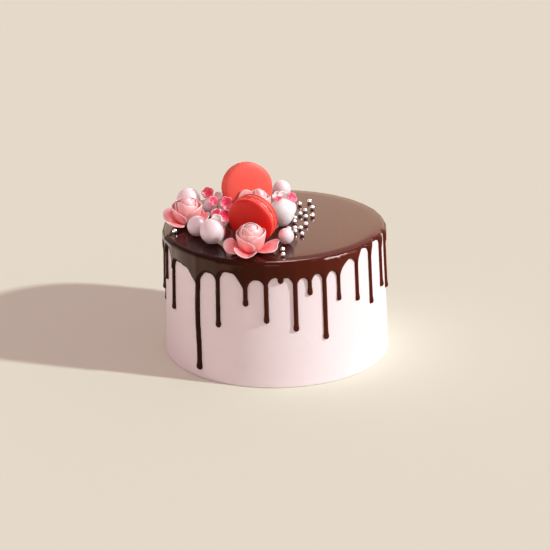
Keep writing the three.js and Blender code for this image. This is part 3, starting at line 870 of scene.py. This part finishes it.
def makeBlossom(name, place, turn, tip, size, material):
    bm = bmesh.new()
    blush = bm.verts.layers.float.new("blush")
    verts = [bm.verts.new((i / blossom["rings"], 0, 0)) for i in range(blossom["rings"] + 1)]
    edges = [bm.edges.new(pair) for pair in zip(verts, verts[1:])]
    bmesh.ops.spin(
        bm, geom=verts + edges, cent=(0, 0, 0), axis=(0, 0, 1), angle=2 * math.pi,
        steps=blossom["steps"], use_merge=True, use_duplicate=False,
    )
    bmesh.ops.remove_doubles(bm, verts=bm.verts[:], dist=1e-5)
    for vert in bm.verts:
        reach = math.hypot(vert.co.x, vert.co.y)
        lobe = abs(math.sin(2.5 * math.atan2(vert.co.y, vert.co.x)))
        full = blossom["radius"] * (blossom["waist"] + (1 - blossom["waist"]) * lobe ** 0.7)
        cup = blossom["cup"] * reach ** 2 + blossom["crease"] * (lobe - 1) * math.sin(math.pi * reach)
        vert[blush] = reach * (0.6 + 0.4 * lobe)
        vert.co = Vector((vert.co.x * full, vert.co.y * full, cup + blossom["thickness"] / 2))
    bmesh.ops.scale(bm, vec=(size, size, size), verts=bm.verts[:])
    spin = Matrix.Rotation(math.radians(turn), 4, "Z") @ Matrix.Rotation(math.radians(tip), 4, "X")
    bmesh.ops.transform(bm, matrix=Matrix.Translation(place) @ spin, verts=bm.verts[:])
    piece = finishPiece("sugar_" + name, bm, material, name)
    thick = piece.modifiers.new("paste thickness", "SOLIDIFY")
    thick.thickness = blossom["thickness"] * size * mm
    thick.offset = 0
    smooth = piece.modifiers.new("soft edges", "SUBSURF")
    smooth.levels = 1
    smooth.render_levels = 1


def makeBlossoms():
    pink = sugarPaste("deep pink sugar blossom", "#FC2A58", "#FF8CA8")
    white = sugarPaste("white sugar blossom", "#FBF3F1", "#FFFDFC")
    for name, (place, turn, tip, size) in blossoms.items():
        if "white" in name:
            makeBlossom(name, place, turn, tip, size, white)
        else:
            makeBlossom(name, place, turn, tip, size, pink)
    print("blossoms made")


# The plain floor, the studio light and the camera

studio = {
    "floor": "#E6E5D5", "floorSize": 9.0, "sky": "#D0B9BA", "skyStrength": 1.0,
    "sunTurn": 73, "sunRise": 28, "sunStrength": 2.7, "sunAngle": 2.5, "sunColour": "#F3FFFC",
    # These show in the gloss alone: the wall that the flat top mirrors, and bright spots round the room
    "glossPanels": [
        {
            "name": "back_wall", "at": (0.0, 2.2, 0.65), "faces": (0, 0, 0.1), "size": (3.6, 0.62),
            "turn": 0, "glow": 1.5, "colour": "#FCE0BE",
        },
        {
            "name": "upper_wall", "at": (0.0, 2.2, 1.4), "faces": (0, 0, 0.1), "size": (3.6, 0.9),
            "turn": 0, "glow": 0.42, "colour": "#FF805C",
        },
        {
            "name": "back_window", "at": (0.04, 1.3, 1.55), "faces": (0, 0, 0.1), "size": (0.2, 1.1),
            "turn": 0, "glow": 17.0, "colour": "#FFDCD8",
        },
        {
            "name": "right_window", "at": (1.28, 0.02, 1.7), "faces": (0, 0, 0.1), "size": (0.6, 1.3),
            "turn": -52, "glow": 48.0, "colour": "#F2F4FF",
        },
        {
            "name": "right_wall", "at": (1.7, -0.1, 1.2), "faces": (0, 0, 0.1), "size": (0.5, 0.6),
            "turn": 0, "glow": 6.0, "colour": "#FFB0A4",
        },
        {
            "name": "front_window", "at": (-0.1, -1.8, 1.05), "faces": (0, 0, 0.1), "size": (0.5, 0.35),
            "turn": 0, "glow": 11.0, "colour": "#FFE8E0",
        },
        {
            "name": "left_table", "at": (-0.65, -0.1, 0.004), "faces": (-0.65, -0.1, 1), "size": (0.8, 0.7),
            "turn": 0, "glow": 1.9, "colour": "#FFE8D4",
        },
        {
            "name": "left_wall", "at": (-1.2, 0.0, 0.18), "faces": (0, 0, 0.18), "size": (1.6, 0.36),
            "turn": 0, "glow": 1.7, "colour": "#FFE8D4",
        },
    ],
}
camera = {
    "at": (0.0, -1.4992, 0.6295), "pitch": 20.824, "yaw": -0.04, "roll": -0.941,
    "focusPixels": 2000, "pictureWidth": 550, "sensor": 36,
}


def makeFloor():
    material = blankMaterial("pale floor")
    surfaced(material, {
        "Base Color": linear(studio["floor"]), "Roughness": 0.75, "Specular IOR Level": 0.0,
    })
    bm = bmesh.new()
    bmesh.ops.create_grid(bm, x_segments=1, y_segments=1, size=studio["floorSize"] / (2 * mm))
    floor = finishPiece("floor", bm, material, None, recalculate=False)


def pointAt(thing, target):
    away = Vector(target) - thing.location
    thing.rotation_euler = away.to_track_quat("-Z", "Y").to_euler()


def makeLights():
    world = bpy.data.worlds.new("soft studio")
    bpy.context.scene.world = world
    world.use_nodes = True
    backdrop = world.node_tree.nodes["Background"]
    backdrop.inputs["Color"].default_value = linear(studio["sky"])
    backdrop.inputs["Strength"].default_value = studio["skyStrength"]
    sun = bpy.data.lights.new("key light", "SUN")
    sun.energy = studio["sunStrength"]
    sun.angle = math.radians(studio["sunAngle"])
    sun.color = linear(studio["sunColour"])[:3]
    lamp = bpy.data.objects.new("key light", sun)
    bpy.context.scene.collection.objects.link(lamp)
    turn = math.radians(studio["sunTurn"])
    rise = math.radians(studio["sunRise"])
    lamp.location = (
        2 * math.sin(turn) * math.cos(rise), -2 * math.cos(turn) * math.cos(rise), 2 * math.sin(rise),
    )
    pointAt(lamp, (0, 0, 0))
    for panel in studio["glossPanels"]:
        area = bpy.data.lights.new(panel["name"], "AREA")
        area.shape = "RECTANGLE"
        area.size, area.size_y = panel["size"]
        # An area light's own brightness is its power over four times its face
        area.energy = panel["glow"] * 4 * area.size * area.size_y
        area.color = linear(panel["colour"])[:3]
        soft = bpy.data.objects.new(panel["name"], area)
        soft.visible_diffuse = False
        soft.visible_camera = False
        bpy.context.scene.collection.objects.link(soft)
        soft.location = panel["at"]
        pointAt(soft, panel["faces"])
        soft.rotation_euler.rotate_axis("Z", math.radians(panel["turn"]))


def makeCamera():
    data = bpy.data.cameras.new("camera")
    data.sensor_width = camera["sensor"]
    data.lens = camera["focusPixels"] / camera["pictureWidth"] * camera["sensor"]
    view = bpy.data.objects.new("camera", data)
    bpy.context.scene.collection.objects.link(view)
    pitch, yaw, roll = (math.radians(camera[key]) for key in ("pitch", "yaw", "roll"))
    ahead = Vector((
        math.sin(yaw) * math.cos(pitch), math.cos(yaw) * math.cos(pitch), -math.sin(pitch),
    ))
    right = ahead.cross(Vector((0, 0, 1))).normalized()
    up = right.cross(ahead)
    rolledRight = right * math.cos(roll) + up * math.sin(roll)
    rolledUp = up * math.cos(roll) - right * math.sin(roll)
    turned = Matrix((rolledRight, rolledUp, -ahead)).transposed()
    view.matrix_world = Matrix.Translation(camera["at"]) @ turned.to_4x4()
    bpy.context.scene.camera = view


bpy.context.scene.view_settings.view_transform = "Standard"
makeCake()
makeGanache()
makeDragees()
makeMacarons()
makeBalls()
wafer = waferPetal()
for rose in roses:
    makeRose(rose, wafer)
makeBlossoms()
makeFloor()
makeLights()
makeCamera()
